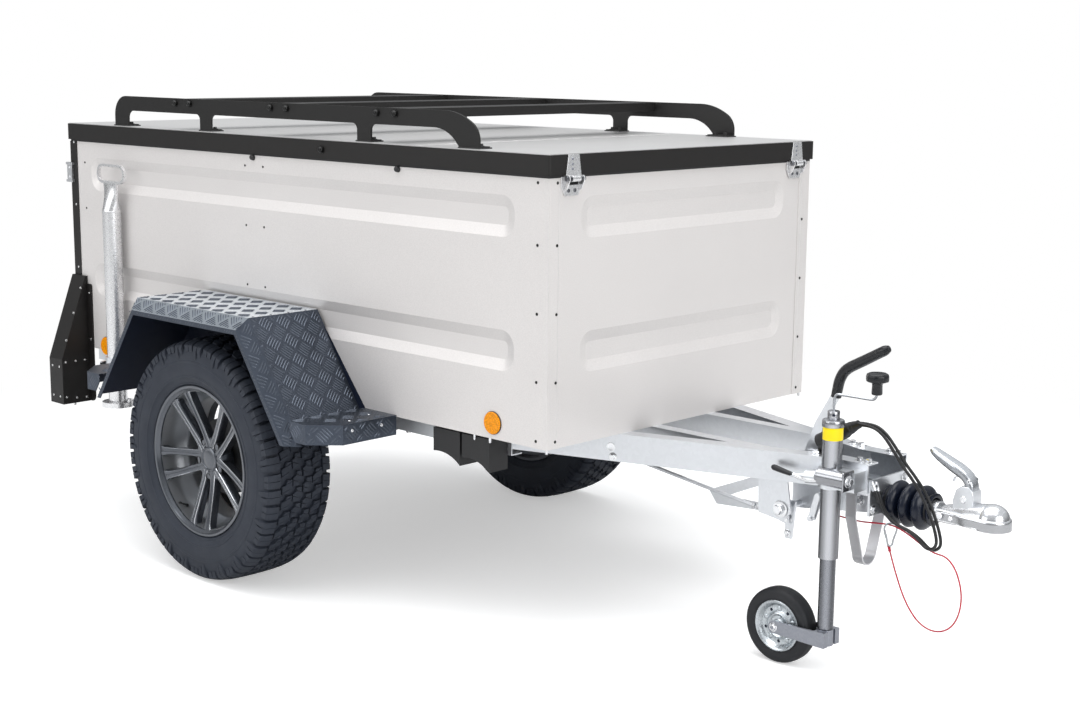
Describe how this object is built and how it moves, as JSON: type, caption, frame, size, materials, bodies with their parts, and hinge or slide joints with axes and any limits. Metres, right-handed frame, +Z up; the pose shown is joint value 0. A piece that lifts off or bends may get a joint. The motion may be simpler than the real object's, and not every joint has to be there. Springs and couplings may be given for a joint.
{
  "type": "off-road box trailer",
  "caption": "Single-axle off-road camping trailer: lidded aluminium box with roof rack, tread-plate fenders, V drawbar with overrun coupling and jockey wheel.",
  "frame": {"origin": "on the ground under the middle of the bounding box", "axes": "+X forward to the coupling, +Y to the left, +Z up"},
  "size_m": [3.2404, 1.67, 1.406],
  "materials": {
    "silver_sheet": "satin silver coated sheet",
    "lid_skin": "stucco embossed grey sheet",
    "plywood": "film-faced plywood",
    "black_rubber": "matte",
    "black_rack": "black textured powder coat",
    "black_steel": "black powder coat",
    "tyre_rubber": "matte",
    "alloy_wheel": "dark grey metallic lacquer",
    "tread_plate": "mill finish tread plate",
    "red_lamp": "moulded lens",
    "amber_reflector": "moulded reflector",
    "black_plastic": "moulded",
    "cable_black": "cable sheath",
    "cable_red": "coated wire rope",
    "galvanised": "hot-dip galvanised",
    "cast_drum": "as cast",
    "zinc_steel": "zinc plated"
  },
  "bodies": {
    "chassis": {"axle_beam": "galvanised", "bellows": "black_rubber", "brake_linkage": "galvanised", "breakaway_cable": "cable_red", "cable_brake": "cable_black", "cable_plug": "cable_black", "chassis_frame": "galvanised", "corner_posts": "silver_sheet", "coupling_handle": "galvanised", "coupling_head": "galvanised", "drawbar_rail_left": "galvanised", "drawbar_rail_right": "galvanised", "fender_left": "tread_plate", "fender_right": "tread_plate", "fender_steps": "tread_plate", "floor_panel": "plywood", "front_wall": "silver_sheet", "handbrake_grip": "black_plastic", "handbrake_lever": "galvanised", "hinge_brackets": "zinc_steel", "jockey_clamp": "galvanised", "lamp_bracket_left": "black_steel", "lamp_bracket_right": "black_steel", "loop_strap": "galvanised", "overrun_housing": "galvanised", "plug_holder": "black_plastic", "rear_posts": "black_steel", "side_reflectors": "amber_reflector", "side_wall_left": "silver_sheet", "side_wall_right": "silver_sheet", "snap_hook": "zinc_steel", "stand_clamps": "galvanised", "tail_lamps": "red_lamp", "tailgate_latches": "zinc_steel", "top_seal": "black_rubber", "trailer_plug": "black_plastic", "wheel_chocks": "black_plastic"},
    "wheel_right": {"tyre_right": "tyre_rubber", "rim_right": "alloy_wheel", "hub_right": "cast_drum"},
    "wheel_left": {"tyre_left": "tyre_rubber", "rim_left": "alloy_wheel", "hub_left": "cast_drum"},
    "lid": {"lid_frame": "black_steel", "lid_panel": "lid_skin", "roof_rail_right": "black_rack", "roof_rail_left": "black_rack", "crossbars": "black_rack", "lid_hinge_leaves": "zinc_steel"},
    "tailgate": {"tailgate": "silver_sheet", "tailgate_hinges": "zinc_steel"},
    "stand_right": {"prop_stand_right": "galvanised"},
    "stand_left": {"prop_stand_left": "galvanised"},
    "jockey_tube": {"jockey_tube": "galvanised", "jockey_crank": "galvanised"},
    "jockey_leg": {"jockey_leg": "galvanised"},
    "jockey_fork": {"jockey_fork": "galvanised"},
    "jockey_wheel": {"jockey_tyre": "tyre_rubber", "jockey_rim": "zinc_steel"}
  },
  "joints": [
    {"name": "wheel_right_spin", "type": "hinge", "parent": "chassis", "child": "wheel_right", "pos_m": [-0.57575, -0.688, 0.362], "axis": [0, 1, 0], "continuous": true},
    {"name": "wheel_left_spin", "type": "hinge", "parent": "chassis", "child": "wheel_left", "pos_m": [-0.57575, 0.688, 0.362], "axis": [0, 1, 0], "continuous": true},
    {"name": "lid_hinge", "type": "hinge", "parent": "chassis", "child": "lid", "pos_m": [0.63175, 0, 1.248], "axis": [0, 1, 0], "range_deg": [0, 65]},
    {"name": "tailgate_hinge", "type": "hinge", "parent": "chassis", "child": "tailgate", "pos_m": [-1.60475, 0, 0.559], "axis": [0, -1, 0], "range_deg": [0, 90]},
    {"name": "stand_right_slide", "type": "slide", "parent": "chassis", "child": "stand_right", "axis": [0, 0, -1], "range_m": [0, 0.385]},
    {"name": "stand_left_slide", "type": "slide", "parent": "chassis", "child": "stand_left", "axis": [0, 0, -1], "range_m": [0, 0.385]},
    {"name": "jockey_clamp_slide", "type": "slide", "parent": "chassis", "child": "jockey_tube", "axis": [0, 0, 1], "range_m": [-0.08, 0.07]},
    {"name": "jockey_screw_slide", "type": "slide", "parent": "jockey_tube", "child": "jockey_leg", "axis": [0, 0, 1], "range_m": [-0.06, 0.1]},
    {"name": "jockey_swivel", "type": "hinge", "parent": "jockey_leg", "child": "jockey_fork", "pos_m": [1.19225, -0.127, 0.1], "axis": [0, 0, 1], "continuous": true},
    {"name": "jockey_wheel_spin", "type": "hinge", "parent": "jockey_fork", "child": "jockey_wheel", "pos_m": [1.05625, -0.127, 0.1], "axis": [0, 1, 0], "continuous": true}
  ]
}
